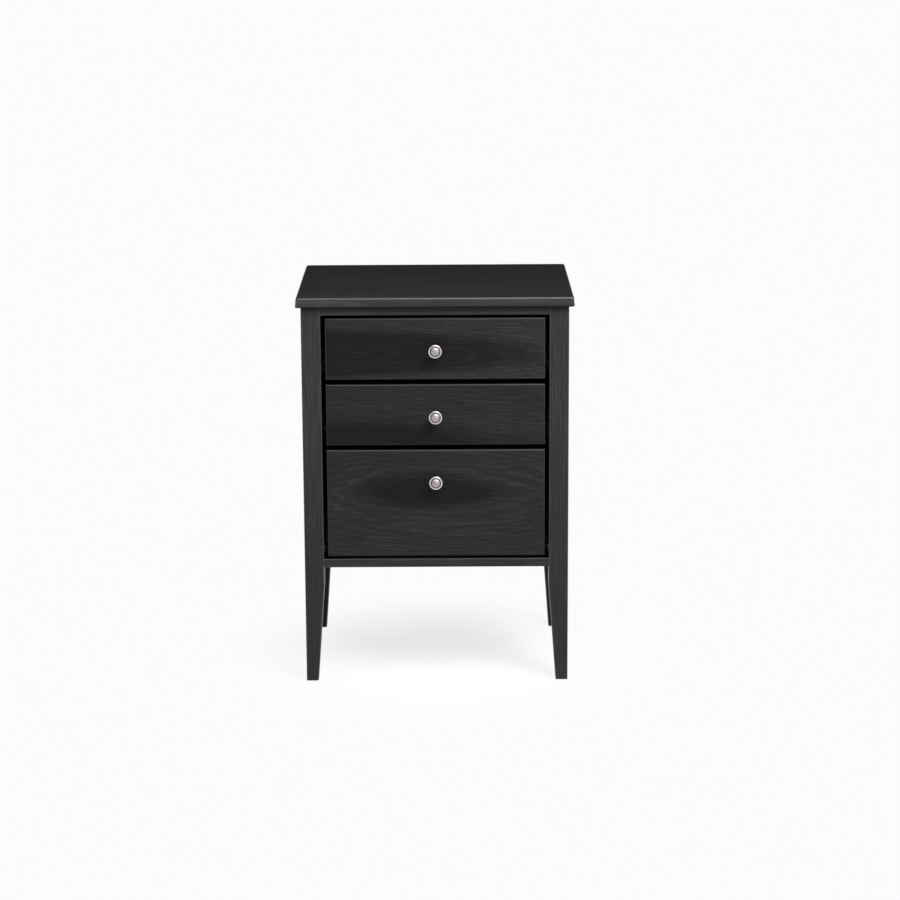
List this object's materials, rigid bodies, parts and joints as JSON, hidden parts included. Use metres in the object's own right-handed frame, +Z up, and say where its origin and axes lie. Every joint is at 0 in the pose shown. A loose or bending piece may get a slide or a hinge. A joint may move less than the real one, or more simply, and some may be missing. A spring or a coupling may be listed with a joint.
{
  "type": "nightstand with drawers",
  "caption": "Black-stained wooden nightstand on tapered legs, with inset drawers that slide out on roller runners and round metal knobs.",
  "frame": {"origin": "on the floor, in the middle of the overall footprint, knobs included", "axes": "+Z up, -Y towards the drawer fronts, +X to the right as seen from the front"},
  "size_m": [0.51, 0.413, 0.73],
  "materials": {
    "black_wood": "black stain under satin lacquer",
    "black_ply": "black-stained plywood",
    "box_wood": "clear-lacquered pale hardwood",
    "box_ply": "clear-lacquered birch plywood",
    "cleat_wood": "planed, unfinished",
    "satin_nickel": "satin nickel plate",
    "runner_steel": "black powder coat",
    "roller_nylon": "moulded nylon",
    "screw_steel": "zinc plated",
    "glide_nylon": "moulded nylon"
  },
  "bodies": {
    "case": {"top_panel": "black_wood", "leg_front_left": "black_wood", "leg_front_right": "black_wood", "leg_rear_left": "black_wood", "leg_rear_right": "black_wood", "top_rail_front": "black_wood", "bottom_rail_front": "black_wood", "top_rail_rear": "black_wood", "bottom_rail_rear": "black_wood", "side_panel_left": "black_wood", "side_panel_right": "black_wood", "back_panel": "black_ply", "slide_cleats_left": "cleat_wood", "slide_cleats_right": "cleat_wood", "top_cleats": "cleat_wood", "top_screws": "screw_steel", "foot_glides": "glide_nylon", "upper_case_runner_left": "runner_steel", "upper_case_runner_right": "runner_steel", "middle_case_runner_left": "runner_steel", "middle_case_runner_right": "runner_steel", "lower_case_runner_left": "runner_steel", "lower_case_runner_right": "runner_steel"},
    "upper_drawer": {"upper_drawer_front": "black_wood", "upper_box_front": "box_wood", "upper_box_back": "box_wood", "upper_box_left": "box_wood", "upper_box_right": "box_wood", "upper_box_bottom": "box_ply", "upper_knob": "satin_nickel", "upper_knob_screw": "screw_steel", "upper_box_runner_left": "runner_steel", "upper_box_runner_right": "runner_steel"},
    "upper_front_roller_pair": {"upper_front_rollers": "roller_nylon"},
    "upper_rear_roller_pair": {"upper_rear_rollers": "roller_nylon"},
    "middle_drawer": {"middle_drawer_front": "black_wood", "middle_box_front": "box_wood", "middle_box_back": "box_wood", "middle_box_left": "box_wood", "middle_box_right": "box_wood", "middle_box_bottom": "box_ply", "middle_knob": "satin_nickel", "middle_knob_screw": "screw_steel", "middle_box_runner_left": "runner_steel", "middle_box_runner_right": "runner_steel"},
    "middle_front_roller_pair": {"middle_front_rollers": "roller_nylon"},
    "middle_rear_roller_pair": {"middle_rear_rollers": "roller_nylon"},
    "lower_drawer": {"lower_drawer_front": "black_wood", "lower_box_front": "box_wood", "lower_box_back": "box_wood", "lower_box_left": "box_wood", "lower_box_right": "box_wood", "lower_box_bottom": "box_ply", "lower_knob": "satin_nickel", "lower_knob_screw": "screw_steel", "lower_box_runner_left": "runner_steel", "lower_box_runner_right": "runner_steel"},
    "lower_front_roller_pair": {"lower_front_rollers": "roller_nylon"},
    "lower_rear_roller_pair": {"lower_rear_rollers": "roller_nylon"}
  },
  "joints": [
    {"name": "upper_drawer_slide", "type": "slide", "parent": "case", "child": "upper_drawer", "axis": [0, -1, 0], "range_m": [0, 0.22]},
    {"name": "upper_front_rollers_turn", "type": "hinge", "parent": "case", "child": "upper_front_roller_pair", "pos_m": [0, -0.1523, 0.6032], "axis": [1, 0, 0], "continuous": true},
    {"name": "upper_rear_rollers_turn", "type": "hinge", "parent": "upper_drawer", "child": "upper_rear_roller_pair", "pos_m": [0, 0.129, 0.601], "axis": [1, 0, 0], "continuous": true},
    {"name": "middle_drawer_slide", "type": "slide", "parent": "case", "child": "middle_drawer", "axis": [0, -1, 0], "range_m": [0, 0.22]},
    {"name": "middle_front_rollers_turn", "type": "hinge", "parent": "case", "child": "middle_front_roller_pair", "pos_m": [0, -0.1523, 0.4802], "axis": [1, 0, 0], "continuous": true},
    {"name": "middle_rear_rollers_turn", "type": "hinge", "parent": "middle_drawer", "child": "middle_rear_roller_pair", "pos_m": [0, 0.129, 0.478], "axis": [1, 0, 0], "continuous": true},
    {"name": "lower_drawer_slide", "type": "slide", "parent": "case", "child": "lower_drawer", "axis": [0, -1, 0], "range_m": [0, 0.22]},
    {"name": "lower_front_rollers_turn", "type": "hinge", "parent": "case", "child": "lower_front_roller_pair", "pos_m": [0, -0.1523, 0.2692], "axis": [1, 0, 0], "continuous": true},
    {"name": "lower_rear_rollers_turn", "type": "hinge", "parent": "lower_drawer", "child": "lower_rear_roller_pair", "pos_m": [0, 0.129, 0.267], "axis": [1, 0, 0], "continuous": true}
  ],
  "couplings": [
    {"joint": "upper_front_rollers_turn", "follows": "upper_drawer_slide", "rad_per_m": 125},
    {"joint": "upper_rear_rollers_turn", "follows": "upper_drawer_slide", "rad_per_m": 125},
    {"joint": "middle_front_rollers_turn", "follows": "middle_drawer_slide", "rad_per_m": 125},
    {"joint": "middle_rear_rollers_turn", "follows": "middle_drawer_slide", "rad_per_m": 125},
    {"joint": "lower_front_rollers_turn", "follows": "lower_drawer_slide", "rad_per_m": 125},
    {"joint": "lower_rear_rollers_turn", "follows": "lower_drawer_slide", "rad_per_m": 125}
  ]
}
